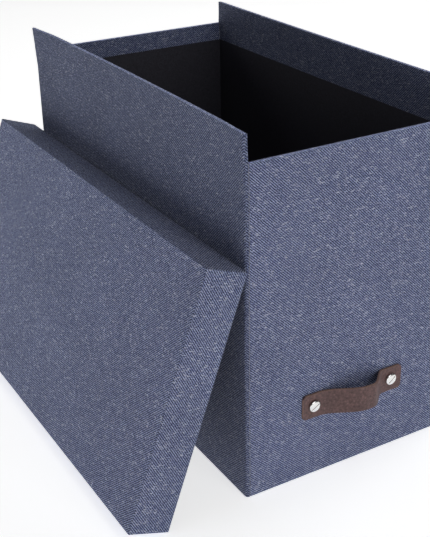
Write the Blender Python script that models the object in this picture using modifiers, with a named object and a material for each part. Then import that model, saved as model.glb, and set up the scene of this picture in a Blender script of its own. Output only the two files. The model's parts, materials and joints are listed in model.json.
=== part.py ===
"""A hanging-file archival box of covered greyboard, with its loose lid leaning on the left side.

The box stands on z = 0 with the centre of its underside at the origin. Its length runs along Y, the
leather handle is on the end at -Y, and the lid leans on the long side at -X.
Each wall is built in layers, from outside to inside: cloth cover, greyboard, the cover's turn-in, lining.
"""

import math

import bmesh
import bpy
from mathutils import Vector

MM = 0.001

# Layers of a covered board
GAP = 0.25 * MM
CLOTH = 0.2 * MM
BOARD = 1.9 * MM
LID_BOARD = 1.2 * MM
LINING = 0.25 * MM
FOLD_RADIUS = 0.4 * MM
FOLD_SEGMENTS = 4

# Box
BOX_LENGTH = 330 * MM
BOX_WIDTH = 180 * MM
SIDE_HEIGHT = 263.5 * MM
END_HEIGHT = 245 * MM
LINING_HEIGHT = 230 * MM
TURN_IN_OVERLAP = 4 * MM
TURN_UNDER = 15 * MM
BOTTOM_SHEET_INSET = 2.5 * MM
STAY_LEG = 12 * MM

# Lid
LID_LENGTH = 351 * MM
LID_WIDTH = 186 * MM
LID_DEPTH = 31 * MM
LID_LEAN = math.radians(19.7)
LID_ALONG_BOX = 7.4 * MM

# Handle
HANDLE_X = -2.7 * MM
HANDLE_HEIGHT = 58.5 * MM
STRAP_LENGTH = 85.5 * MM
STRAP_WIDTH = 19.2 * MM
STRAP_THICKNESS = 1.8 * MM
STRAP_CORNER = 3 * MM
STRAP_BOW = 11.8 * MM
STRAP_RISE_START = -29 * MM
STRAP_RISE_END = 5 * MM
STRAP_FALL_START = 9 * MM
STRAP_FALL_END = 26 * MM
STRAP_STEPS = 60
SCREW_SPACING = 66.6 * MM
SCREW_HEAD_RADIUS = 4.4 * MM
SCREW_HEAD_HEIGHT = 1.6 * MM
SCREW_HEAD_EDGE = 0.5 * MM
SCREW_SHANK_RADIUS = 1.7 * MM
SLOT_WIDTH = 1.2 * MM
SLOT_DEPTH = 0.7 * MM
SLOT_ANGLES = {"left": math.radians(38), "right": math.radians(46)}
SCREW_X = {"left": HANDLE_X - SCREW_SPACING / 2, "right": HANDLE_X + SCREW_SPACING / 2}
POST_RADIUS = 2.5 * MM
POST_BORE_RADIUS = 2.0 * MM
POST_HEAD_HEIGHT = 1.5 * MM
HOLE_RADIUS = 2.8 * MM
EDGE_SEGMENTS = 2
ROUND_STEPS = 32
SMOOTH_UNDER = math.radians(35)

# Distances worked out from the layers, measured inwards from the box's outer faces
BOARD_OUTER = CLOTH + GAP
BOARD_INNER = BOARD_OUTER + BOARD
TURN_IN_OUTER = BOARD_INNER + GAP
TURN_IN_INNER = TURN_IN_OUTER + CLOTH
LINING_OUTER = TURN_IN_INNER + GAP
LINING_INNER = LINING_OUTER + LINING

# The same for the lid, measured inwards from its skirt's outer faces
LID_TURN_IN_OUTER = BOARD_OUTER + LID_BOARD + GAP
LID_TURN_IN_INNER = LID_TURN_IN_OUTER + CLOTH

# Levels above the floor
TURN_UNDER_LOW = CLOTH + GAP
TURN_UNDER_HIGH = TURN_UNDER_LOW + CLOTH
BOARD_LOW = TURN_UNDER_HIGH + GAP
BASE_TOP = BOARD_LOW + BOARD
FLOOR_LOW = BASE_TOP + GAP
TURN_IN_LOW = LINING_HEIGHT - TURN_IN_OVERLAP

HALF_WIDTH = BOX_WIDTH / 2
HALF_LENGTH = BOX_LENGTH / 2
BEYOND = 10 * MM

FINISHES = {
    "cloth": ((0.085, 0.105, 0.20), 0.85, 0.0),
    "board": ((0.42, 0.40, 0.36), 0.95, 0.0),
    "lining": ((0.012, 0.012, 0.014), 0.8, 0.0),
    "leather": ((0.10, 0.05, 0.042), 0.6, 0.0),
    "steel": ((0.78, 0.78, 0.78), 0.25, 1.0),
}


def clear_scene():
    for obj in list(bpy.data.objects):
        bpy.data.objects.remove(obj, do_unlink=True)


def new_collection(name):
    collection = bpy.data.collections.new(name)
    bpy.context.scene.collection.children.link(collection)
    return collection


def make_material(name):
    colour, roughness, metallic = FINISHES[name]
    material = bpy.data.materials.new(name)
    material.use_nodes = True
    shader = material.node_tree.nodes["Principled BSDF"]
    shader.inputs["Base Color"].default_value = (*colour, 1.0)
    shader.inputs["Roughness"].default_value = roughness
    shader.inputs["Metallic"].default_value = metallic
    return material


clear_scene()
PARTS = new_collection("archival_box")
CUTTERS = new_collection("cutters")
MATERIALS = {name: make_material(name) for name in FINISHES}


def object_from(name, cage, location, finish, parent):
    """The mesh as an object: a part with a finish, or a hidden cutter where the finish is None."""
    mesh = bpy.data.meshes.new(name)
    cage.to_mesh(mesh)
    cage.free()
    obj = bpy.data.objects.new(name, mesh)
    obj.location = location
    obj.parent = parent
    if finish is None:
        CUTTERS.objects.link(obj)
        obj.hide_render = True
        obj.display_type = "WIRE"
    else:
        PARTS.objects.link(obj)
        mesh.materials.append(MATERIALS[finish])
    return obj


def block(name, low, high, finish=None, parent=None, round_along="", radius=FOLD_RADIUS):
    """A box between two corners; its edges along the axis named in round_along are rounded."""
    low, high = Vector(low), Vector(high)
    cage = bmesh.new()
    bmesh.ops.create_cube(cage, size=1)
    bmesh.ops.scale(cage, vec=high - low, verts=cage.verts)
    if round_along:
        edges = [edge for edge in cage.edges if edge_axis(edge) == round_along]
        bmesh.ops.bevel(
            cage, geom=edges, offset=radius, segments=FOLD_SEGMENTS, profile=0.5, affect="EDGES"
        )
    return object_from(name, cage, (low + high) / 2, finish, parent)


def edge_axis(edge):
    direction = edge.verts[1].co - edge.verts[0].co
    return "XYZ"[max(range(3), key=lambda axis: abs(direction[axis]))]


def rod(name, radius, start, end, x, z, finish=None):
    """A round bar along Y from start to end."""
    cage = bmesh.new()
    bmesh.ops.create_cone(
        cage,
        cap_ends=True,
        segments=ROUND_STEPS,
        radius1=radius,
        radius2=radius,
        depth=abs(end - start),
    )
    obj = object_from(name, cage, (x, (start + end) / 2, z), finish, None)
    obj.rotation_euler.x = math.radians(90)
    return obj


def combine(target, other, operation):
    modifier = target.modifiers.new(operation.lower(), "BOOLEAN")
    modifier.operation = operation
    modifier.object = other


def cut(target, *cutters):
    for cutter in cutters:
        combine(target, cutter, "DIFFERENCE")


def smooth(obj):
    obj.data.shade_smooth()
    obj.data.set_sharp_from_angle(angle=SMOOTH_UNDER)


def screw_holes(start, end):
    """One cutter for each screw, through the front end wall's layers between two Y positions."""
    return [rod("screw_hole", HOLE_RADIUS, start, end, x, HANDLE_HEIGHT) for x in SCREW_X.values()]


def box_boards():
    side_top = SIDE_HEIGHT - BOARD_OUTER
    end_top = END_HEIGHT - BOARD_OUTER
    side_y = HALF_LENGTH - BOARD_OUTER
    inner_x = HALF_WIDTH - BOARD_INNER
    outer_x = HALF_WIDTH - BOARD_OUTER
    inner_y = HALF_LENGTH - BOARD_INNER
    for name, sign in (("left", -1), ("right", 1)):
        xs = sorted((sign * inner_x, sign * outer_x))
        block(f"side_board_{name}", (xs[0], -side_y, BOARD_LOW), (xs[1], side_y, side_top), "board")
    end_x = inner_x - GAP
    for name, sign in (("front", -1), ("back", 1)):
        ys = sorted((sign * inner_y, sign * side_y))
        end = block(f"end_board_{name}", (-end_x, ys[0], BOARD_LOW), (end_x, ys[1], end_top), "board")
        if name == "front":
            cut(end, *screw_holes(-HALF_LENGTH, -inner_y + BEYOND))
    base_y = inner_y - GAP
    block("base_board", (-end_x, -base_y, BOARD_LOW), (end_x, base_y, BASE_TOP), "board")


def corner_stays():
    """Angles of paper tape that hold the wall boards together inside each corner."""
    outer_x, outer_y = HALF_WIDTH - TURN_IN_OUTER, HALF_LENGTH - TURN_IN_OUTER
    top = TURN_IN_LOW - GAP
    for side, sx in (("left", -1), ("right", 1)):
        for end, sy in (("front", -1), ("back", 1)):
            xs = sorted((sx * outer_x, sx * (outer_x - STAY_LEG)))
            ys = sorted((sy * outer_y, sy * (outer_y - STAY_LEG)))
            name = f"corner_stay_{end}_{side}"
            stay = block(name, (xs[0], ys[0], FLOOR_LOW), (xs[1], ys[1], top), "board")
            xs = sorted((sx * (outer_x - CLOTH), sx * (outer_x - STAY_LEG - BEYOND)))
            ys = sorted((sy * (outer_y - CLOTH), sy * (outer_y - STAY_LEG - BEYOND)))
            cut(stay, block("stay_inside", (xs[0], ys[0], 0), (xs[1], ys[1], SIDE_HEIGHT)))


def box_cover():
    """The cloth: outside, over the rims and down inside, and turned under the base."""
    cover = block(
        "outer_wrap",
        (-HALF_WIDTH, -HALF_LENGTH, TURN_UNDER_LOW),
        (HALF_WIDTH, HALF_LENGTH, SIDE_HEIGHT),
        "cloth",
        round_along="Z",
    )
    inner_x, inner_y = HALF_WIDTH - TURN_IN_INNER, HALF_LENGTH - TURN_IN_INNER
    skin_x, skin_y = HALF_WIDTH - CLOTH, HALF_LENGTH - CLOTH
    pocket_x, pocket_y = HALF_WIDTH - TURN_IN_OUTER, HALF_LENGTH - TURN_IN_OUTER
    above = SIDE_HEIGHT + BEYOND
    hollow = block("cover_hollow", (-inner_x, -inner_y, TURN_IN_LOW - BEYOND), (inner_x, inner_y, above))
    end_notch = block(
        "cover_end_notch",
        (-inner_x, -HALF_LENGTH - BEYOND, END_HEIGHT),
        (inner_x, HALF_LENGTH + BEYOND, above),
    )
    behind = block("cover_behind", (-skin_x, -skin_y, TURN_UNDER_HIGH), (skin_x, skin_y, TURN_IN_LOW))
    underside = block(
        "cover_underside",
        (TURN_UNDER - skin_x, TURN_UNDER - skin_y, 0),
        (skin_x - TURN_UNDER, skin_y - TURN_UNDER, BASE_TOP),
    )
    cut(cover, hollow, end_notch, behind, underside)
    for sign in (-1, 1):
        xs = sorted((sign * pocket_x, sign * skin_x))
        ys = sorted((sign * pocket_y, sign * skin_y))
        side = block(
            "side_pocket",
            (xs[0], -skin_y, TURN_IN_LOW - BEYOND),
            (xs[1], skin_y, SIDE_HEIGHT - CLOTH),
        )
        end = block(
            "end_pocket",
            (-pocket_x - CLOTH, ys[0], TURN_IN_LOW - BEYOND),
            (pocket_x + CLOTH, ys[1], END_HEIGHT - CLOTH),
        )
        cut(cover, side, end)
    cut(cover, *screw_holes(-HALF_LENGTH - BEYOND, -skin_y + GAP))


def bottom_sheet():
    x, y = HALF_WIDTH - BOTTOM_SHEET_INSET, HALF_LENGTH - BOTTOM_SHEET_INSET
    block("bottom_sheet", (-x, -y, 0), (x, y, CLOTH), "lining")


def box_lining():
    outer_x, outer_y = HALF_WIDTH - LINING_OUTER, HALF_LENGTH - LINING_OUTER
    inner_x, inner_y = HALF_WIDTH - LINING_INNER, HALF_LENGTH - LINING_INNER
    walls = block(
        "wall_lining", (-outer_x, -outer_y, FLOOR_LOW), (outer_x, outer_y, LINING_HEIGHT), "lining"
    )
    cut(walls, block("lining_inside", (-inner_x, -inner_y, 0), (inner_x, inner_y, SIDE_HEIGHT)))
    cut(walls, *screw_holes(-outer_y - GAP, -inner_y + GAP))
    x, y = inner_x - GAP, inner_y - GAP
    block("floor_lining", (-x, -y, FLOOR_LOW), (x, y, FLOOR_LOW + LINING), "lining")


def ease(share):
    share = min(max(share, 0.0), 1.0)
    return share * share * (3 - 2 * share)


def strap_bow(x):
    """How far the strap stands out from the plane of its two fixed ends."""
    rise = ease((x - STRAP_RISE_START) / (STRAP_RISE_END - STRAP_RISE_START))
    fall = ease((x - STRAP_FALL_START) / (STRAP_FALL_END - STRAP_FALL_START))
    return STRAP_BOW * (rise - fall)


def handle_strap():
    cage = bmesh.new()
    bmesh.ops.create_grid(cage, x_segments=STRAP_STEPS, y_segments=1, size=0.5)
    for vertex in cage.verts:
        x, height = vertex.co.x * STRAP_LENGTH, vertex.co.y * STRAP_WIDTH
        vertex.co = (x, -strap_bow(x), height)
    face_y = -HALF_LENGTH - GAP
    strap = object_from("handle_strap", cage, (HANDLE_X, face_y, HANDLE_HEIGHT), "leather", None)
    leather = strap.modifiers.new("leather", "SOLIDIFY")
    leather.thickness = STRAP_THICKNESS
    leather.offset = 1
    leather.use_even_offset = True
    half = STRAP_LENGTH / 2
    outline = block(
        "strap_outline",
        (HANDLE_X - half, face_y - STRAP_BOW - BEYOND, HANDLE_HEIGHT - STRAP_WIDTH / 2),
        (HANDLE_X + half, face_y + BEYOND, HANDLE_HEIGHT + STRAP_WIDTH / 2),
        round_along="Y",
        radius=STRAP_CORNER,
    )
    combine(strap, outline, "INTERSECT")
    cut(strap, *screw_holes(face_y - BEYOND, face_y + GAP))
    smooth(strap)


def screw(side, x):
    """A slotted binding screw: its head on the strap, its shank in the post."""
    seat = -HALF_LENGTH - 2 * GAP - STRAP_THICKNESS
    name = f"handle_screw_{side}"
    head = rod(name, SCREW_HEAD_RADIUS, seat, seat - SCREW_HEAD_HEIGHT, x, HANDLE_HEIGHT, "steel")
    edge = head.modifiers.new("edge", "BEVEL")
    edge.width = SCREW_HEAD_EDGE
    edge.segments = EDGE_SEGMENTS
    tip = -HALF_LENGTH + LINING_INNER - GAP
    combine(head, rod("screw_shank", SCREW_SHANK_RADIUS, seat - GAP, tip, x, HANDLE_HEIGHT), "UNION")
    slot_y = seat - SCREW_HEAD_HEIGHT
    slot = block(
        "screw_slot",
        (-SCREW_HEAD_RADIUS - GAP, -SLOT_DEPTH, -SLOT_WIDTH / 2),
        (SCREW_HEAD_RADIUS + GAP, SLOT_DEPTH, SLOT_WIDTH / 2),
    )
    slot.location = (x, slot_y, HANDLE_HEIGHT)
    slot.rotation_euler.y = -SLOT_ANGLES[side]
    cut(head, slot)
    smooth(head)


def screw_post(side, x):
    """The barrel nut inside the box: a flat head against the lining and a bored barrel through the wall."""
    seat = -HALF_LENGTH + LINING_INNER + GAP
    mouth = -HALF_LENGTH - STRAP_THICKNESS + GAP
    name = f"screw_post_{side}"
    post = rod(name, SCREW_HEAD_RADIUS, seat, seat + POST_HEAD_HEIGHT, x, HANDLE_HEIGHT, "steel")
    edge = post.modifiers.new("edge", "BEVEL")
    edge.width = SCREW_HEAD_EDGE
    edge.segments = EDGE_SEGMENTS
    combine(post, rod("post_barrel", POST_RADIUS, mouth, seat + GAP, x, HANDLE_HEIGHT), "UNION")
    cut(post, rod("post_bore", POST_BORE_RADIUS, mouth - GAP, seat + GAP, x, HANDLE_HEIGHT))
    smooth(post)


def lid_frame():
    """An empty at the centre of the lid's rim, turned from level to leaning on the box's left side."""
    lower_edge = -HALF_WIDTH - GAP - LID_WIDTH * math.sin(LID_LEAN)
    frame = bpy.data.objects.new("lid_frame", None)
    PARTS.objects.link(frame)
    frame.location = (
        lower_edge + LID_WIDTH / 2 * math.sin(LID_LEAN),
        LID_ALONG_BOX,
        LID_WIDTH / 2 * math.cos(LID_LEAN),
    )
    frame.rotation_euler.y = LID_LEAN - math.radians(90)
    return frame


def lid_boards(frame):
    half_x, half_y = LID_WIDTH / 2 - BOARD_OUTER, LID_LENGTH / 2 - BOARD_OUTER
    inner_x, inner_y = half_x - LID_BOARD, half_y - LID_BOARD
    low, top = BOARD_OUTER, LID_DEPTH - BOARD_OUTER
    for name, sign in (("left", -1), ("right", 1)):
        xs = sorted((sign * inner_x, sign * half_x))
        block(f"lid_skirt_{name}", (xs[0], -half_y, low), (xs[1], half_y, top), "board", frame)
    end_x = inner_x - GAP
    for name, sign in (("front", -1), ("back", 1)):
        ys = sorted((sign * inner_y, sign * half_y))
        block(f"lid_skirt_{name}", (-end_x, ys[0], low), (end_x, ys[1], top), "board", frame)
    end_y = inner_y - GAP
    block("lid_top_board", (-end_x, -end_y, top - LID_BOARD), (end_x, end_y, top), "board", frame)
    lining_top = top - LID_BOARD - GAP
    x, y = end_x - CLOTH - GAP, end_y - CLOTH - GAP
    block("lid_lining", (-x, -y, lining_top - LINING), (x, y, lining_top), "lining", frame)


def lid_cover(frame):
    """The lid's cloth: over the top, down the skirt and up its inside."""
    half_x, half_y = LID_WIDTH / 2, LID_LENGTH / 2
    cover = block(
        "lid_wrap", (-half_x, -half_y, 0), (half_x, half_y, LID_DEPTH), "cloth", frame, round_along="Z"
    )
    skin_x, skin_y = half_x - CLOTH, half_y - CLOTH
    pocket_x, pocket_y = half_x - LID_TURN_IN_OUTER, half_y - LID_TURN_IN_OUTER
    hollow_x, hollow_y = half_x - LID_TURN_IN_INNER, half_y - LID_TURN_IN_INNER
    pocket_top = LID_DEPTH - CLOTH
    turn_in_top = pocket_top - GAP - LID_BOARD - 2 * GAP - LINING
    hollow = block(
        "lid_hollow", (-hollow_x, -hollow_y, -BEYOND), (hollow_x, hollow_y, turn_in_top + GAP), None, frame
    )
    behind = block("lid_behind", (-skin_x, -skin_y, turn_in_top), (skin_x, skin_y, pocket_top), None, frame)
    cut(cover, hollow, behind)
    high = (turn_in_top + pocket_top) / 2
    for sign in (-1, 1):
        xs, ys = sorted((sign * pocket_x, sign * skin_x)), sorted((sign * pocket_y, sign * skin_y))
        side = block("lid_side_pocket", (xs[0], -skin_y, CLOTH), (xs[1], skin_y, high), None, frame)
        end = block("lid_end_pocket", (-skin_x, ys[0], CLOTH), (skin_x, ys[1], high), None, frame)
        cut(cover, side, end)


def build():
    box_boards()
    corner_stays()
    box_cover()
    bottom_sheet()
    box_lining()
    handle_strap()
    for side, x in SCREW_X.items():
        screw(side, x)
        screw_post(side, x)
    frame = lid_frame()
    lid_boards(frame)
    lid_cover(frame)


build()
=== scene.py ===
"""The looks of the archival box: cloth covers, lining, leather handle, materials, light and camera.

Everything is in metres in the CAD model's frame: +Z up, the box's length along Y, the handle on the
end at -Y and the lid leaning on the side at -X.
"""

import json
import math

import bmesh
import bpy
from mathutils import Matrix, Vector, noise


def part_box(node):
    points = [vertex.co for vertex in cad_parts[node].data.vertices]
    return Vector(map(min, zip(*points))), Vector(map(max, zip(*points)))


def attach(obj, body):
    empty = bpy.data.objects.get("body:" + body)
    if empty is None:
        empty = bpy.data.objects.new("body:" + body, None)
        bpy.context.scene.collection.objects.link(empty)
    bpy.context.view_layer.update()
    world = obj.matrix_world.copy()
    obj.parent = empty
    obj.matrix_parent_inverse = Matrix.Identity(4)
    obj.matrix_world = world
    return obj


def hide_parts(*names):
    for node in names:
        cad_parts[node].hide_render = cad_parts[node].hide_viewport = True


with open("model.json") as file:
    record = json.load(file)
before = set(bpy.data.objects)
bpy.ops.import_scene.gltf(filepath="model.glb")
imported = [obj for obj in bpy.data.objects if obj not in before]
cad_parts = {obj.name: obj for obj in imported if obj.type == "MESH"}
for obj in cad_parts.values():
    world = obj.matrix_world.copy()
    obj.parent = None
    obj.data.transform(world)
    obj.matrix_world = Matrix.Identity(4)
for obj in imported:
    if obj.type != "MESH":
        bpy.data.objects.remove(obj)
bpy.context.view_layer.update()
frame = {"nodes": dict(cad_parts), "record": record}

MM = 0.001
NEAR = 0.01 * MM

# The layers of a covered board, from outside to inside, with a glue gap on each side of the board
CLOTH = 0.2 * MM
GAP = 0.25 * MM
BOARD = 1.9 * MM
LINING = 0.25 * MM
BOARD_INSET = CLOTH + GAP
WALL = 2 * BOARD_INSET + BOARD
LINING_INSET = WALL + GAP
LID_WALL = 2.1 * MM

# The box, from the frame
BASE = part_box("outer_wrap")[0].z
HALF_WIDTH, HALF_LENGTH, SIDE_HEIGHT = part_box("outer_wrap")[1]
END_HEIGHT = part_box("end_board_front")[1].z + BOARD_INSET
LINING_LOW, LINING_HEIGHT = (corner.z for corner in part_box("wall_lining"))

# Folds of the cover
TURN_IN_LOW = LINING_HEIGHT - 4 * MM
TURN_UNDER = 15 * MM
TURN_UNDER_CORNER = 0.1 * MM
CORNER_RADIUS = 2.4 * MM
RIM_RADIUS = 0.55 * MM
FOOT_RADIUS = 0.5 * MM
SEAM_RADIUS = 0.45 * MM
CREASE_RADIUS = 0.2 * MM
SEAM_GAP = 0.35 * MM
FLAT_LEFT = 0.15 * MM

# How finely the shapes are divided
ROUND_STEPS = 6
RING_SPANS = 24
LINING_ROWS = 20
GRID = 11 * MM
STRAP_GRID = (0.8 * MM, 2.5 * MM)
SCREW_STEPS = 48
DOME_STEPS = 8
SHARP_ANGLE = math.radians(50)

# How the walls stand away from flat
LEFT_BOW = 2.0 * MM
RIGHT_BOW = -1.0 * MM
BOW_POWER = 1.6
FLAP_INSET = 0.7 * MM
FLAP_EASE = 5 * MM
LEAN = 0.2 * MM
LEAN_HEIGHT = 100 * MM
SPLAY_FROM = 232 * MM
NEAR_SPLAY = 0.7 * MM
FAR_SPLAY = 2.2 * MM
RIPPLE = 0.13 * MM
RIPPLE_LENGTH = 55 * MM

# Lid
LID_WIDTH, LID_DEPTH = 186 * MM, 31 * MM
LID_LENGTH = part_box("lid_wrap")[1].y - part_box("lid_wrap")[0].y
LID_EDGE = 1.0 * MM
LID_TURN_IN_TOP = 28.0 * MM

# Handle
STRAP_LOW, STRAP_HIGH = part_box("handle_strap")
HANDLE_Z = (STRAP_LOW.z + STRAP_HIGH.z) / 2
STRAP_X = (STRAP_LOW.x + STRAP_HIGH.x) / 2
STRAP_LENGTH = STRAP_HIGH.x - STRAP_LOW.x
STRAP_WIDTH = STRAP_HIGH.z - STRAP_LOW.z
STRAP_BACK = STRAP_HIGH.y
STRAP_THICKNESS = 1.8 * MM
STRAP_CORNER = 3 * MM
STRAP_EDGE = 0.35 * MM
STRAP_BOW = 11.8 * MM
STRAP_RISE = (-29 * MM, 5 * MM)
STRAP_FALL = (9 * MM, 26 * MM)
PRESS_DEPTH = 0.25 * MM
PRESS_REACH = 2 * MM

# Screws
SCREW_X = {side: sum(c.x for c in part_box(f"handle_screw_{side}")) / 2 for side in ("left", "right")}
HOLES_IN_STRAP = [x - STRAP_X for x in SCREW_X.values()]
HOLE_RADIUS = 2.8 * MM
SHANK_RADIUS = 1.7 * MM
HEAD_RADIUS = 4.4 * MM
HEAD_FOOT = 0.12 * MM
HEAD_SIDE = 0.45 * MM
HEAD_EDGE = 0.1 * MM
SLOT_HALF_WIDTH = 0.42 * MM
SLOT_DEPTH = 0.6 * MM
SLOT_ANGLES = {"left": math.radians(31), "right": math.radians(40)}

# Weave: a twill that repeats every four threads
THREAD_ACROSS = 0.485 * MM
THREAD_ALONG = 0.472 * MM
WARP_DARK, WARP_PALE = (0.002, 0.005, 0.028), (0.024, 0.038, 0.120)
WEFT_DARK, WEFT_PALE = (0.184, 0.228, 0.470), (0.610, 0.690, 1.000)
HEATHER_DARK, HEATHER_PALE = (0.003, 0.008, 0.040), (0.580, 0.660, 0.980)
FLECK = (0.80, 0.84, 0.98)

# Camera: lens and sensor in millimetres, with the sensor along the frame's long side
CAMERA_PLACE = (-0.40111, -0.66453, 0.46131)
CAMERA_YAW, CAMERA_PITCH, CAMERA_ROLL = math.radians(30.064), math.radians(25.789), math.radians(-1.04)
CAMERA_LENS, CAMERA_SENSOR = 70.87, 36

# Lights: name, place, diameter in metres and power in watts
LIGHTS = (
    ("overhead", (0.0, 0.1, 2.2), 1.8, 7.6),
    ("front", (0.1, -2.05, 0.9), 1.4, 12.0),
    ("left", (-2.1, 0.0, 0.45), 1.2, 2.6),
    ("back", (-1.3, 1.7, 1.0), 1.2, 4.4),
    ("right", (1.7, 0.2, 1.3), 0.9, 6.5),
    ("far_right", (1.1, 1.3, 1.4), 0.9, 2.8),
)
LIGHTS_AIM = (0, 0, 0.12)
WORLD_GLOW = 0.04
FLOOR_GLOW = 0.66


# Shapes

def ease(share):
    """Goes smoothly from 0 to 1 as the share does, and stays there outside."""
    share = min(max(share, 0.0), 1.0)
    return share * share * (3 - 2 * share)


def ripple(a, b, seed):
    """A slight wave over a face, at a place on it; each face has its own seed."""
    return RIPPLE * noise.noise(Vector((a / RIPPLE_LENGTH, b / RIPPLE_LENGTH, seed)))


def stand(point):
    """Where a point of a flat wall goes: the long walls bow in, their tops narrow above the end walls, the
    left one's corners splay out and every face ripples a little. out_x is 1 in the long walls and out_y in
    the end walls."""
    x, y, z = point
    rise = max(z / SIDE_HEIGHT, 0) ** BOW_POWER
    along = 1 - (y / HALF_LENGTH) ** 2
    out_x = ease((abs(x) - 0.8 * HALF_WIDTH) / (0.15 * HALF_WIDTH))
    out_y = ease((abs(y) - 0.9 * HALF_LENGTH) / (0.08 * HALF_LENGTH))
    bow = LEFT_BOW if x < 0 else RIGHT_BOW
    moved_x = x + out_x * rise * along * bow
    moved_x += out_x * along * ripple(y, z, 3 if x < 0 else 7)
    moved_y = y + out_y * (1 - (x / HALF_WIDTH) ** 2) * ripple(x, z, 11 if y < 0 else 17)
    flap = ease((z - END_HEIGHT) / FLAP_EASE)
    moved_y *= 1 - FLAP_INSET / HALF_LENGTH * flap
    if x < 0:
        near, far = (ease((side * y / HALF_LENGTH - 0.75) / 0.25) for side in (-1, 1))
        splay = max(z - SPLAY_FROM, 0) / (SIDE_HEIGHT - SPLAY_FROM) * (near * NEAR_SPLAY + far * FAR_SPLAY)
        moved_x -= out_x * (splay + near * LEAN * ease(z / LEAN_HEIGHT))
    return Vector((moved_x, moved_y, z))


def edge_axis(edge):
    """The axis (0, 1 or 2) that an edge runs along."""
    direction = edge.verts[1].co - edge.verts[0].co
    return max(range(3), key=lambda axis: abs(direction[axis]))


def on(edge, axis, value):
    """Whether both ends of an edge have this value along the axis."""
    return all(abs(vertex.co[axis] - value) < NEAR for vertex in edge.verts)


def round_off(cage, edges, radius, steps=3):
    bmesh.ops.bevel(cage, geom=edges, offset=radius, segments=steps, profile=0.5, affect="EDGES")


def slice_up(cage, axis, low, high, step):
    """Cuts the mesh across an axis about every step."""
    count = max(1, round((high - low) / step))
    normal = [0, 0, 0]
    normal[axis] = 1
    for i in range(1, count):
        place = [0, 0, 0]
        place[axis] = low + (high - low) * i / count
        everything = cage.verts[:] + cage.edges[:] + cage.faces[:]
        bmesh.ops.bisect_plane(cage, geom=everything, plane_co=place, plane_no=normal)


def cube(low, high):
    cage = bmesh.new()
    bmesh.ops.create_cube(cage, size=1)
    bmesh.ops.scale(cage, vec=Vector(high) - Vector(low), verts=cage.verts)
    bmesh.ops.translate(cage, vec=(Vector(low) + Vector(high)) / 2, verts=cage.verts)
    return cage


def rod(radius, low, high, x, z, steps=32):
    """A round bar along Y."""
    turn = Matrix.Translation((x, (low + high) / 2, z)) @ Matrix.Rotation(math.radians(90), 4, "X")
    cage = bmesh.new()
    bmesh.ops.create_cone(
        cage, cap_ends=True, segments=steps, radius1=radius, radius2=radius, depth=high - low, matrix=turn
    )
    return cage


def add_to_scene(name, data):
    obj = bpy.data.objects.new(name, data)
    bpy.context.scene.collection.objects.link(obj)
    return obj


def make_object(name, cage):
    mesh = bpy.data.meshes.new(name)
    cage.to_mesh(mesh)
    cage.free()
    return add_to_scene(name, mesh)


def carve(obj, *cages):
    """Cuts each cage's shape out of the object's mesh."""
    cutters = [make_object("cutter", cage) for cage in cages]
    for cutter in cutters:
        modifier = obj.modifiers.new("cut", "BOOLEAN")
        modifier.operation = "DIFFERENCE"
        modifier.object = cutter
    graph = bpy.context.evaluated_depsgraph_get()
    carved = bpy.data.meshes.new_from_object(obj.evaluated_get(graph))
    obj.modifiers.clear()
    obj.data = carved
    for cutter in cutters:
        bpy.data.objects.remove(cutter)
    return obj


def loft(rings, closed=False):
    """Quads between successive rings of points. When closed, the last ring joins the first; otherwise both
    ends are capped."""
    cage = bmesh.new()
    rows = [[cage.verts.new(point) for point in ring] for ring in rings]
    count = len(rows[0])
    pairs = list(zip(rows, rows[1:]))
    if closed:
        pairs.append((rows[-1], rows[0]))
    for first, second in pairs:
        for i in range(count):
            j = (i + 1) % count
            cage.faces.new((first[i], first[j], second[j], second[i]))
    if not closed:
        cage.faces.new(rows[0])
        cage.faces.new(rows[-1])
    bmesh.ops.recalc_face_normals(cage, faces=cage.faces)
    return cage


def rounded_ring(half_x, half_y, radius, z, spans):
    """The points of a rectangle with round corners, with each straight side in the given number of spans."""
    radius = max(radius, 0.05 * MM)
    arcs = []
    for sx, sy, start in ((1, 1, 0), (-1, 1, 90), (-1, -1, 180), (1, -1, 270)):
        centre = Vector((sx * (half_x - radius), sy * (half_y - radius), z))
        angles = [math.radians(start + 90 * step / ROUND_STEPS) for step in range(ROUND_STEPS + 1)]
        arcs.append([centre + radius * Vector((math.cos(a), math.sin(a), 0)) for a in angles])
    points = []
    for arc, following in zip(arcs, arcs[1:] + arcs[:1]):
        points += arc
        points += [arc[-1].lerp(following[0], k / spans) for k in range(1, spans)]
    return points


def arc_path(centre, radius, start, end, steps=4):
    """(across, up) pairs along an arc, between two angles in degrees."""
    angles = [math.radians(start + (end - start) * i / steps) for i in range(steps + 1)]
    return [(centre[0] + radius * math.cos(a), centre[1] + radius * math.sin(a)) for a in angles]


# Finishing a piece

def finish(obj, body, slot, material, *replaced, weave=None):
    """Gives a made piece its material, weave coordinates, smooth shading and body; slot is not used."""
    mesh = obj.data
    mesh.materials.clear()
    mesh.materials.append(material)
    if weave:
        lay_weave(mesh, weave)
    mesh.shade_smooth()
    mesh.set_sharp_from_angle(angle=SHARP_ANGLE)
    normals = obj.modifiers.new("normals", "WEIGHTED_NORMAL")
    normals.keep_sharp = True
    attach(obj, body)
    if replaced:
        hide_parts(*replaced)


def repaint(obj, material, chosen):
    """Gives a second material to the faces that chosen() picks."""
    obj.data.materials.append(material)
    for face in obj.data.polygons:
        face.material_index = int(chosen(face))


def box_weave(point, facing):
    """(across, along) of the cloth at a point, for a face along X, Y or Z (0, 1 or 2)."""
    return ((point.y, point.z), (point.x, point.z), (point.x, point.y))[facing]


def lid_weave(point, facing):
    """The same in the lid's own level frame."""
    return ((point.y, point.z), (point.z, -point.x), (point.y, point.x))[facing]


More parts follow.
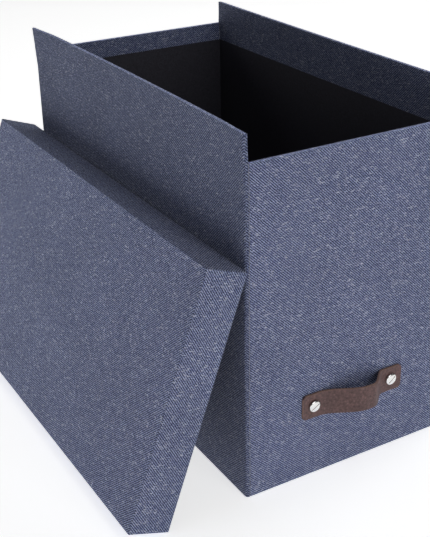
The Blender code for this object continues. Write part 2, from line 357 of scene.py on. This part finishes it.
def lay_weave(mesh, weave):
    """Writes the cloth's coordinates, in metres, as a UV map: each face takes them along its own plane."""
    layer = mesh.uv_layers.new(name="weave")
    for polygon in mesh.polygons:
        facing = max(range(3), key=lambda axis: abs(polygon.normal[axis]))
        for loop in polygon.loop_indices:
            layer.data[loop].uv = weave(mesh.vertices[mesh.loops[loop].vertex_index].co, facing)


# Materials: noise scales are per metre, and a third coordinate given to random() is a seed

class Nodes:
    """Short calls for building one material's node tree."""

    def __init__(self, name):
        self.material = bpy.data.materials.new(name)
        self.material.use_nodes = True
        self.tree = self.material.node_tree
        self.shader = self.tree.nodes["Principled BSDF"]

    def put(self, socket, value):
        if isinstance(value, bpy.types.NodeSocket):
            self.tree.links.new(value, socket)
        else:
            socket.default_value = value

    def add(self, kind, output=0, inputs=(), **settings):
        node = self.tree.nodes.new(kind)
        for key, value in settings.items():
            setattr(node, key, value)
        for key, value in dict(inputs).items():
            self.put(node.inputs[key], value)
        return node.outputs[output]

    def math(self, operation, first, second=0.0, third=0.0):
        inputs = {0: first, 1: second, 2: third}
        return self.add("ShaderNodeMath", inputs=inputs, operation=operation)

    def noise(self, vector, scale, detail=2.0, roughness=0.5):
        inputs = {"Vector": vector, "Scale": scale, "Detail": detail, "Roughness": roughness}
        return self.add("ShaderNodeTexNoise", inputs=inputs)

    def random(self, vector):
        return self.add("ShaderNodeTexWhiteNoise", output="Value", inputs={"Vector": vector})

    def vector(self, x, y, z=0.0):
        return self.add("ShaderNodeCombineXYZ", inputs={0: x, 1: y, 2: z})

    def ramp(self, value, low, high, start=0.0, end=1.0):
        inputs = {"Value": value, "From Min": low, "From Max": high, "To Min": start, "To Max": end}
        return self.add("ShaderNodeMapRange", inputs=inputs, clamp=True)

    def mix(self, share, first, second, blend="MIX"):
        node = self.tree.nodes.new("ShaderNodeMix")
        node.data_type = "RGBA"
        node.blend_type = blend
        self.put(node.inputs[0], share)
        for socket, value in ((node.inputs[6], first), (node.inputs[7], second)):
            self.put(socket, (*value, 1.0) if isinstance(value, tuple) else value)
        return node.outputs[2]

    def bump(self, height, strength, distance):
        inputs = {"Height": height, "Strength": strength, "Distance": distance}
        self.put(self.shader.inputs["Normal"], self.add("ShaderNodeBump", inputs=inputs))

    def set(self, **values):
        for key, value in values.items():
            value = (*value, 1.0) if isinstance(value, tuple) else value
            self.put(self.shader.inputs[key.replace("_", " ")], value)
        return self.material


def cloth(name, depth):
    """Bookcloth: a two-and-two twill of navy and pale threads, heathered, with light flecks. depth is how
    light it looks: the cloth's own tone, and in the side, lid and rim copies also painted shade or painted
    light."""
    n = Nodes(name)
    place = n.add("ShaderNodeUVMap", uv_map="weave")
    split = n.tree.nodes.new("ShaderNodeSeparateXYZ")
    n.put(split.inputs[0], place)
    drift = n.math("MULTIPLY", n.math("SUBTRACT", n.noise(place, 60.0, 2.0), 0.5), 0.6)
    across = n.math("ADD", n.math("DIVIDE", split.outputs[0], THREAD_ACROSS), drift)
    along = n.math("ADD", n.math("DIVIDE", split.outputs[1], THREAD_ALONG), drift)
    column, row = n.math("FLOOR", across), n.math("FLOOR", along)
    in_column, in_row = n.math("FRACT", across), n.math("FRACT", along)
    phase = n.math("FLOORED_MODULO", n.math("ADD", column, row), 4.0)
    warp_up = n.math("LESS_THAN", phase, 1.5)
    over = n.math("SUBTRACT", phase, 2.0)

    def thread(inside, travel):
        """The height of a thread that floats over two others."""
        crown = n.math("SINE", n.math("MULTIPLY", inside, math.pi))
        arch = n.math("SINE", n.math("MULTIPLY", travel, math.pi))
        return n.math("MULTIPLY", crown, n.math("MULTIPLY_ADD", arch, 0.6, 0.4))

    warp = thread(in_column, n.math("MULTIPLY", n.math("ADD", phase, in_row), 0.5))
    weft = thread(in_row, n.math("MULTIPLY", n.math("ADD", over, in_column), 0.5))
    height = n.add("ShaderNodeMix", inputs={0: warp_up, 2: weft, 3: warp})

    warp_float = n.vector(column, n.math("SUBTRACT", row, phase), 5.0)
    weft_float = n.vector(n.math("SUBTRACT", column, over), row, 3.0)
    warp_colour = n.mix(n.random(warp_float), WARP_DARK, WARP_PALE)
    weft_colour = n.mix(n.random(weft_float), WEFT_DARK, WEFT_PALE)
    colour = n.mix(warp_up, weft_colour, warp_colour)

    heather = n.noise(place, 1600.0, 1.0, 0.6)
    colour = n.mix(n.ramp(heather, 0.50, 0.36, 0.0, 0.7), colour, HEATHER_DARK)
    colour = n.mix(n.ramp(heather, 0.56, 0.70, 0.0, 0.7), colour, HEATHER_PALE)
    fleck = n.math("POWER", n.random(n.vector(n.math("SUBTRACT", column, over), row, 7.0)), 24.0)
    colour = n.mix(n.math("MULTIPLY", fleck, 0.9), colour, FLECK)
    wash = n.ramp(n.noise(place, 14.0, 3.0), 0.3, 0.7, 0.93, 1.07)
    # Painted shade: the low parts of the weave are darker, scaled by depth
    shade = n.math("MULTIPLY", wash, n.ramp(height, 0.0, 0.75, 0.12 * depth, 1.17 * depth))
    grey = n.add("ShaderNodeCombineColor", inputs={0: shade, 1: shade, 2: shade})
    colour = n.mix(1.0, colour, grey, "MULTIPLY")
    n.bump(height, 0.5, 0.12 * MM)
    return n.set(
        Base_Color=colour, Roughness=0.86, Specular_IOR_Level=0.25, Sheen_Weight=0.12, Sheen_Roughness=0.4
    )


def lining_paper():
    """Black matt paper with a faint fibre."""
    n = Nodes("lining_paper")
    place = n.add("ShaderNodeTexCoord", output="Object")
    fibre = n.noise(place, 900.0, 4.0, 0.65)
    cloud = n.noise(place, 18.0, 3.0)
    colour = n.mix(n.ramp(fibre, 0.35, 0.7), (0.026, 0.025, 0.034), (0.048, 0.046, 0.062))
    n.bump(fibre, 0.35, 0.06 * MM)
    return n.set(Base_Color=colour, Roughness=n.ramp(cloud, 0.3, 0.7, 0.55, 0.68), Specular_IOR_Level=0.35)


def greyboard():
    """Grey pulp board with dark specks."""
    n = Nodes("greyboard")
    place = n.add("ShaderNodeTexCoord", output="Object")
    pulp = n.noise(place, 600.0, 5.0, 0.7)
    speck = n.ramp(n.noise(place, 1500.0, 1.0), 0.62, 0.7)
    colour = n.mix(n.ramp(pulp, 0.3, 0.7), (0.33, 0.31, 0.28), (0.50, 0.48, 0.43))
    colour = n.mix(n.math("MULTIPLY", speck, 0.5), colour, (0.12, 0.11, 0.10))
    n.bump(pulp, 0.4, 0.1 * MM)
    return n.set(Base_Color=colour, Roughness=0.95)


def paper_tape():
    """Brown gummed paper."""
    n = Nodes("paper_tape")
    place = n.add("ShaderNodeTexCoord", output="Object")
    fibre = n.noise(place, 800.0, 4.0, 0.6)
    colour = n.mix(n.ramp(fibre, 0.3, 0.7), (0.36, 0.24, 0.13), (0.52, 0.38, 0.23))
    n.bump(fibre, 0.3, 0.05 * MM)
    return n.set(Base_Color=colour, Roughness=0.7)


def leather():
    """Dyed smooth leather: fine pebbled grain, uneven dye and a slight polish."""
    n = Nodes("leather")
    place = n.add("ShaderNodeTexCoord", output="Object")
    pebble = n.add("ShaderNodeTexVoronoi", inputs={"Vector": place, "Scale": 850.0}, feature="SMOOTH_F1")
    mottle = n.noise(place, 520.0, 3.0, 0.65)
    fine = n.noise(place, 2600.0, 3.0, 0.6)
    dye = n.noise(place, 75.0, 4.0, 0.6)
    colour = n.mix(n.ramp(dye, 0.32, 0.68), (0.104, 0.050, 0.049), (0.164, 0.084, 0.080))
    colour = n.mix(n.ramp(mottle, 0.52, 0.34, 0.0, 0.7), colour, (0.038, 0.018, 0.018))
    colour = n.mix(n.ramp(mottle, 0.56, 0.74, 0.0, 0.6), colour, (0.250, 0.150, 0.138))
    colour = n.mix(n.ramp(pebble, 0.25, 0.65, 0.0, 0.45), colour, (0.045, 0.024, 0.023))
    height = n.math("SUBTRACT", n.math("MULTIPLY", fine, 0.3), pebble)
    n.bump(height, 0.35, 0.12 * MM)
    shine = n.ramp(dye, 0.3, 0.7, 0.48, 0.62)
    return n.set(Base_Color=colour, Roughness=shine, Specular_IOR_Level=0.45)


def leather_edge():
    """The strap's cut edge: paler, fibrous and dull."""
    n = Nodes("leather_edge")
    place = n.add("ShaderNodeTexCoord", output="Object")
    fibre = n.noise(place, 1800.0, 4.0, 0.7)
    colour = n.mix(n.ramp(fibre, 0.3, 0.7), (0.20, 0.110, 0.088), (0.42, 0.27, 0.215))
    n.bump(fibre, 0.5, 0.15 * MM)
    return n.set(Base_Color=colour, Roughness=0.8)


def nickel():
    """Bright nickel plate with fine handling scratches."""
    n = Nodes("nickel")
    place = n.add("ShaderNodeTexCoord", output="Object")
    stretch = n.add("ShaderNodeMapping", inputs={"Vector": place, "Scale": (900.0, 900.0, 6500.0)})
    scratch = n.noise(stretch, 1.0, 3.0, 0.7)
    n.bump(scratch, 0.08, 0.03 * MM)
    rough = n.ramp(scratch, 0.35, 0.75, 0.16, 0.34)
    return n.set(Base_Color=(0.80, 0.79, 0.78), Metallic=1.0, Roughness=rough)


# Lit and shaded copies of one cloth: the side copy is painted shade on the long walls, the lid copy is
# painted light on the lid's broad face, and the rim copy is a painted highlight on the walls' top edges
CLOTH_MATERIAL = cloth("bookcloth", 0.90)
SIDE_PAINTED_SHADE_MATERIAL = cloth("bookcloth_side_painted_shade", 0.69)
LID_PAINTED_LIGHT_MATERIAL = cloth("bookcloth_lid_painted_light", 1.12)
RIM_PAINTED_HIGHLIGHT_MATERIAL = cloth("bookcloth_rim_painted_highlight", 1.85)
LINING_MATERIAL = lining_paper()
BOARD_MATERIAL = greyboard()
TAPE_MATERIAL = paper_tape()
LEATHER_MATERIAL = leather()
EDGE_MATERIAL = leather_edge()
NICKEL_MATERIAL = nickel()


# Box

def wall_layer(axis, sign, inset, run, top, corner):
    """One layer of a wall: a rounded slab, inset from the cover's own faces, cut into a grid and stood up.
    The wall faces along the axis, run is half its length and corner is the radius of its outer corners."""
    reach = (HALF_WIDTH, HALF_LENGTH)[axis]
    other = 1 - axis
    outer, inner = sign * (reach - inset), sign * (reach - WALL + inset)
    low, high = Vector((0, 0, BASE + inset)), Vector((0, 0, top - inset))
    low[axis], high[axis] = min(outer, inner), max(outer, inner)
    low[other], high[other] = inset - run, run - inset
    cage = cube(low, high)
    corners = [edge for edge in cage.edges if edge_axis(edge) == 2 and on(edge, axis, outer)]
    round_off(cage, corners, min(corner - inset, WALL - 2 * inset - FLAT_LEFT), ROUND_STEPS)
    creases = [edge for edge in cage.edges if edge_axis(edge) == 2 and on(edge, axis, inner)]
    round_off(cage, creases, max(CREASE_RADIUS - inset * 0.5, NEAR))
    round_off(cage, [edge for edge in cage.edges if on(edge, 2, high.z)], RIM_RADIUS - inset * 0.5)
    round_off(cage, [edge for edge in cage.edges if on(edge, 2, low.z)], FOOT_RADIUS - inset * 0.5)
    return stand_up(cage, axis, low, high)


def stand_up(cage, axis, low, high):
    """Cuts a wall's mesh into a grid and moves every point to where the wall stands."""
    for across in (1 - axis, 2):
        slice_up(cage, across, low[across], high[across], GRID)
    for vertex in cage.verts:
        vertex.co = stand(vertex.co)
    return cage


def wall_cover(name, axis, sign, run, top, corner):
    """The cloth on one wall, hollow where its board is and open behind the lining."""
    cover = make_object(name, wall_layer(axis, sign, 0.0, run, top, corner))
    reach = (HALF_WIDTH, HALF_LENGTH)[axis]
    low, high = Vector((0, 0, BASE + 2 * CLOTH)), Vector((0, 0, TURN_IN_LOW))
    low[axis], high[axis] = sorted((sign * (reach - WALL / 2), sign * (reach - 3 * WALL)))
    low[1 - axis], high[1 - axis] = 2 * CLOTH - run, run - 2 * CLOTH
    behind = stand_up(cube(low, high), axis, low, high)
    return carve(cover, wall_layer(axis, sign, CLOTH, run, top, corner), behind)


def paint_rim_highlight(cover, top):
    """Paler cloth on the top edge of a wall: a painted highlight where light falls on the rim."""
    # Painted highlight on the up-facing faces of the rim
    low = top - 2 * RIM_RADIUS
    repaint(cover, RIM_PAINTED_HIGHLIGHT_MATERIAL, lambda face: face.normal.z > 0.5 and face.center.z > low)


def screw_holes(low, high):
    """Round bars along Y, where the handle's screws go through the front wall."""
    return [rod(HOLE_RADIUS, low, high, x, HANDLE_Z) for x in SCREW_X.values()]


def side_walls():
    """The two long walls: each a cloth cover round its board."""
    for side, sign in (("left", -1), ("right", 1)):
        cover = wall_cover(f"side_cover_{side}", 0, sign, HALF_LENGTH, SIDE_HEIGHT, CORNER_RADIUS)
        # The long walls take the darker copy of the cloth: painted shade
        finish(cover, "box", "cloth", SIDE_PAINTED_SHADE_MATERIAL, "outer_wrap", weave=box_weave)
        # Painted highlight on the wall's top edge
        paint_rim_highlight(cover, SIDE_HEIGHT)
        slab = wall_layer(0, sign, BOARD_INSET, HALF_LENGTH, SIDE_HEIGHT, CORNER_RADIUS)
        board = make_object(f"side_greyboard_{side}", slab)
        finish(board, "box", "greyboard", BOARD_MATERIAL, f"side_board_{side}")


def end_walls():
    """The covers of the two end walls, the front one with holes for the handle's screws."""
    run = HALF_WIDTH - WALL - SEAM_GAP
    for side, sign in (("front", -1), ("back", 1)):
        cover = wall_cover(f"end_cover_{side}", 1, sign, run, END_HEIGHT, SEAM_RADIUS)
        if sign < 0:
            carve(cover, *screw_holes(-HALF_LENGTH - WALL, -HALF_LENGTH + 2 * WALL))
        finish(cover, "box", "cloth", CLOTH_MATERIAL, "outer_wrap", weave=box_weave)
        # Painted highlight on the wall's top edge
        paint_rim_highlight(cover, END_HEIGHT)


def wall_lining():
    """The black paper on the inside of the four walls, as one closed band."""
    rise = LINING_HEIGHT - LINING_LOW
    heights = [LINING_LOW + rise * i / LINING_ROWS for i in range(LINING_ROWS + 1)]
    inner = [(LINING_INSET + LINING, z) for z in heights]
    outer = [(LINING_INSET, z) for z in reversed(heights)]
    rings = [
        rounded_ring(HALF_WIDTH - inset, HALF_LENGTH - inset, 3 * MM - inset, z, RING_SPANS)
        for inset, z in inner + outer
    ]
    band = loft([[stand(point) for point in ring] for ring in rings], closed=True)
    lining = make_object("wall_lining_paper", band)
    middle = -HALF_LENGTH + LINING_INSET
    carve(lining, *screw_holes(middle - WALL, middle + WALL))
    finish(lining, "box", "lining", LINING_MATERIAL, "wall_lining")


def corner_tapes():
    """The paper tape inside each corner, moved with its walls."""
    for end in ("front", "back"):
        for side in ("left", "right"):
            node = f"corner_stay_{end}_{side}"
            source = frame["nodes"][node]
            cage = bmesh.new()
            cage.from_mesh(source.data)
            cage.transform(source.matrix_world)
            low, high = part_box(node)
            slice_up(cage, 2, low.z, high.z, GRID)
            for vertex in cage.verts:
                vertex.co = stand(vertex.co)
            tape = make_object(f"corner_tape_{end}_{side}", cage)
            finish(tape, "box", "paper_tape", TAPE_MATERIAL, node)


def base_turn_in():
    """The cloth's margin, turned under the base."""
    path = [(WALL, BASE), (TURN_UNDER, BASE), (TURN_UNDER, BASE + CLOTH), (WALL, BASE + CLOTH)]
    rings = [
        rounded_ring(HALF_WIDTH - inset, HALF_LENGTH - inset, TURN_UNDER_CORNER, z, RING_SPANS // 2)
        for inset, z in path
    ]
    margin = make_object("base_turn_in", loft(rings, closed=True))
    finish(margin, "box", "cloth", CLOTH_MATERIAL, weave=box_weave)


# Lid

def lid_matrix():
    """From the lid's own level frame, with its rim at z = 0, to where it leans."""
    top = next(mount for mount in frame["record"]["mounts"] if mount["name"] == "lid_top")
    outward = Vector(top["axis"]).normalized()
    up_the_lean = Vector((outward.z, 0, -outward.x))
    origin = Vector(top["pos_m"]) - outward * LID_DEPTH
    turn = Matrix((up_the_lean, (0, 1, 0), outward)).transposed().to_4x4()
    return Matrix.Translation(origin) @ turn


def lid_path():
    """(inset, height) from the middle of the lid's top, over the edge, down the skirt, round the rim, up its
    inside, and back along the other side of the cloth."""
    half = LID_WIDTH / 2
    flat = [half * share for share in (0.995, 0.8, 0.6, 0.4, 0.2, 0.08)]
    top = LID_DEPTH
    outside = [(inset, top) for inset in flat]
    outside += arc_path((LID_EDGE, top - LID_EDGE), LID_EDGE, 90, 180)
    outside += [(0.0, top * share) for share in (0.75, 0.5, 0.25)]
    outside += arc_path((RIM_RADIUS, RIM_RADIUS), RIM_RADIUS, 180, 270)
    outside += arc_path((LID_WALL - RIM_RADIUS, RIM_RADIUS), RIM_RADIUS, 270, 360)
    outside += [(LID_WALL, LID_TURN_IN_TOP * share) for share in (0.35, 0.7, 1.0)]
    inner_rim = RIM_RADIUS - CLOTH
    inside = [(LID_WALL - CLOTH, LID_TURN_IN_TOP * share) for share in (1.0, 0.7, 0.35)]
    inside += arc_path((LID_WALL - RIM_RADIUS, RIM_RADIUS), inner_rim, 360, 270)
    inside += arc_path((RIM_RADIUS, RIM_RADIUS), inner_rim, 270, 180)
    inside += [(CLOTH, top * share) for share in (0.25, 0.5, 0.75)]
    inside += arc_path((LID_EDGE, top - LID_EDGE), LID_EDGE - CLOTH, 180, 90)
    inside += [(inset, top - CLOTH) for inset in reversed(flat)]
    return outside + inside


def lid_ripple(point):
    """Where a point of the flat lid goes: its broad face ripples a little."""
    x, y, z = point
    broad = ease(1 - abs(x) / (LID_WIDTH / 2)) * ease((z - LID_DEPTH / 2) / (LID_DEPTH / 2))
    return Vector((x, y, z + broad * ripple(x, y, 23)))


def lid_cover():
    """The cloth over the lid, in one piece, with a lighter copy of the cloth on the broad face: painted
    light.
    """
    rings = []
    for inset, z in lid_path():
        half_x, half_y = LID_WIDTH / 2 - inset, LID_LENGTH / 2 - inset
        ring = rounded_ring(half_x, half_y, min(LID_EDGE - inset, half_x), z, RING_SPANS)
        rings.append([lid_ripple(point) for point in ring])
    cover = make_object("lid_cover", loft(rings))
    cover.matrix_world = lid_matrix()
    finish(cover, "lid", "cloth", CLOTH_MATERIAL, "lid_wrap", weave=lid_weave)
    # Painted light: the broad face takes the lighter copy of the cloth
    low = LID_DEPTH - LID_EDGE
    repaint(cover, LID_PAINTED_LIGHT_MATERIAL, lambda face: face.normal.z > 0.9 and face.center.z > low)


# Handle

def strap_bow(x):
    """How far the strap stands out from the wall."""
    rise = ease((x - STRAP_RISE[0]) / (STRAP_RISE[1] - STRAP_RISE[0]))
    fall = ease((x - STRAP_FALL[0]) / (STRAP_FALL[1] - STRAP_FALL[0]))
    return STRAP_BOW * (rise - fall)


def strap():
    """The leather strap: cut flat with round corners and two holes, then bent into its bow."""
    half_x, half_z = STRAP_LENGTH / 2, STRAP_WIDTH / 2
    cage = cube((-half_x, -STRAP_THICKNESS, -half_z), (half_x, 0, half_z))
    round_off(cage, [edge for edge in cage.edges if edge_axis(edge) == 1], STRAP_CORNER, 8)
    rims = [edge for edge in cage.edges if on(edge, 1, 0) or on(edge, 1, -STRAP_THICKNESS)]
    round_off(cage, rims, STRAP_EDGE)
    piece = make_object("leather_strap", cage)
    low, high = -2 * STRAP_THICKNESS, STRAP_THICKNESS
    carve(piece, *[rod(HOLE_RADIUS, low, high, x, 0) for x in HOLES_IN_STRAP])
    cage = bmesh.new()
    cage.from_mesh(piece.data)
    slice_up(cage, 0, -half_x, half_x, STRAP_GRID[0])
    slice_up(cage, 2, -half_z, half_z, STRAP_GRID[1])
    for vertex in cage.verts:
        vertex.co = bend_strap(vertex.co)
    cage.to_mesh(piece.data)
    cage.free()
    piece.location = (STRAP_X, STRAP_BACK, HANDLE_Z)
    finish(piece, "box", "leather", LEATHER_MATERIAL, "handle_strap")

    def near_edge(face):
        return min(half_z - abs(face.center.z), half_x - abs(face.center.x)) < 0.6 * STRAP_EDGE

    repaint(piece, EDGE_MATERIAL, near_edge)


def bend_strap(point):
    """Where a point of the flat strap goes: bent out from the wall, square to the strap's own line, and
    pressed in round the screw heads."""
    x, y, z = point
    step = 0.05 * MM
    slope = (strap_bow(x + step) - strap_bow(x - step)) / (2 * step)
    lean = math.atan(slope)
    nearest = min(math.hypot(x - hole, z) for hole in HOLES_IN_STRAP)
    press = ease(1 - (nearest - HEAD_RADIUS) / PRESS_REACH)
    y += PRESS_DEPTH * press * (-y / STRAP_THICKNESS)
    return Vector((x + y * math.sin(lean), y * math.cos(lean) - strap_bow(x), z))


def screw(side):
    """A domed screw head with a slot, on its shank."""
    low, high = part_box(f"handle_screw_{side}")
    seat, top = STRAP_BACK - STRAP_THICKNESS, low.y
    depth = seat - top - GAP
    path = [(SHANK_RADIUS, seat - GAP - high.y), (SHANK_RADIUS, 0.0)]
    path += [(HEAD_RADIUS * 0.96, 0.0), (HEAD_RADIUS, HEAD_FOOT), (HEAD_RADIUS, HEAD_SIDE)]
    for step in range(1, DOME_STEPS):
        angle = math.radians(90 * step / DOME_STEPS)
        path.append((HEAD_RADIUS * math.cos(angle), HEAD_SIDE + (depth - HEAD_SIDE) * math.sin(angle)))
    turns = [math.tau * k / SCREW_STEPS for k in range(SCREW_STEPS)]
    rings = [
        [Vector((radius * math.cos(turn), -rise, radius * math.sin(turn))) for turn in turns]
        for radius, rise in path
    ]
    head = make_object(f"screw_{side}", loft(rings))
    head.location = (SCREW_X[side], seat - GAP, HANDLE_Z)
    reach = HEAD_RADIUS * 1.2
    slot = cube((-reach, -3 * MM, -SLOT_HALF_WIDTH), (reach, SLOT_DEPTH - depth, SLOT_HALF_WIDTH))
    bmesh.ops.rotate(slot, matrix=Matrix.Rotation(-SLOT_ANGLES[side], 3, "Y"), verts=slot.verts)
    bmesh.ops.translate(slot, vec=head.location, verts=slot.verts)
    carve(head, slot)
    rim = head.modifiers.new("edge", "BEVEL")
    rim.width = HEAD_EDGE
    rim.segments = 2
    rim.angle_limit = SHARP_ANGLE
    finish(head, "box", "screw_metal", NICKEL_MATERIAL, f"handle_screw_{side}")


def carried_over():
    """Gives every CAD node its material, which shows on those that keep their own shape."""
    finishes = {
        "cloth": CLOTH_MATERIAL,
        "greyboard": BOARD_MATERIAL,
        "leather": LEATHER_MATERIAL,
        "lining": LINING_MATERIAL,
        "paper_tape": TAPE_MATERIAL,
        "screw_metal": NICKEL_MATERIAL,
    }
    for part in frame["record"]["subparts"]:
        mesh = frame["nodes"][part["node"]].data
        mesh.materials.clear()
        mesh.materials.append(finishes[part["material_slot"]])


# Studio

def camera():
    """Looks down on the near left corner, along its yaw and pitch, with a slight roll."""
    data = bpy.data.cameras.new("camera")
    data.sensor_width = CAMERA_SENSOR
    data.lens = CAMERA_LENS
    obj = add_to_scene("camera", data)
    level = Vector((math.sin(CAMERA_YAW), math.cos(CAMERA_YAW), 0))
    forward = level * math.cos(CAMERA_PITCH) - Vector((0, 0, math.sin(CAMERA_PITCH)))
    right = Vector((math.cos(CAMERA_YAW), -math.sin(CAMERA_YAW), 0))
    turn = Matrix((right, right.cross(forward), -forward)).transposed().to_4x4()
    roll = Matrix.Rotation(CAMERA_ROLL, 4, "Z")
    obj.matrix_world = Matrix.Translation(CAMERA_PLACE) @ turn @ roll
    bpy.context.scene.camera = obj


def area_light(name, place, size, power):
    data = bpy.data.lights.new(name, "AREA")
    data.shape = "DISK"
    data.size = size
    data.energy = power
    obj = add_to_scene(name, data)
    obj.location = place
    obj.rotation_mode = "QUATERNION"
    obj.rotation_quaternion = (Vector(LIGHTS_AIM) - Vector(place)).to_track_quat("-Z", "Y")


def studio():
    """A white floor under an overhead softbox, with a key light at the front and weaker ones round it. The
    world is white behind the floor but lights the box only faintly."""
    world = bpy.data.worlds.new("studio")
    world.use_nodes = True
    bpy.context.scene.world = world
    tree = world.node_tree
    seen = tree.nodes.new("ShaderNodeLightPath")
    strength = tree.nodes.new("ShaderNodeMath")
    strength.operation = "MAXIMUM"
    strength.inputs[1].default_value = WORLD_GLOW
    tree.links.new(seen.outputs["Is Camera Ray"], strength.inputs[0])
    tree.links.new(strength.outputs[0], tree.nodes["Background"].inputs["Strength"])
    tree.nodes["Background"].inputs["Color"].default_value = (1, 1, 1, 1)
    for light in LIGHTS:
        area_light(*light)
    floor = make_object("floor", cube((-6, -6, -0.02), (6, 6, 0)))
    n = Nodes("floor")
    floor.data.materials.append(n.set(
        Base_Color=(0.93, 0.93, 0.93), Roughness=0.9, Specular_IOR_Level=0.1,
        Emission_Color=(1.0, 1.0, 1.0), Emission_Strength=FLOOR_GLOW,
    ))
    bpy.context.scene.view_settings.view_transform = "Standard"


camera()
studio()
carried_over()
side_walls()
end_walls()
wall_lining()
corner_tapes()
base_turn_in()
lid_cover()
strap()
for screw_side in SCREW_X:
    screw(screw_side)
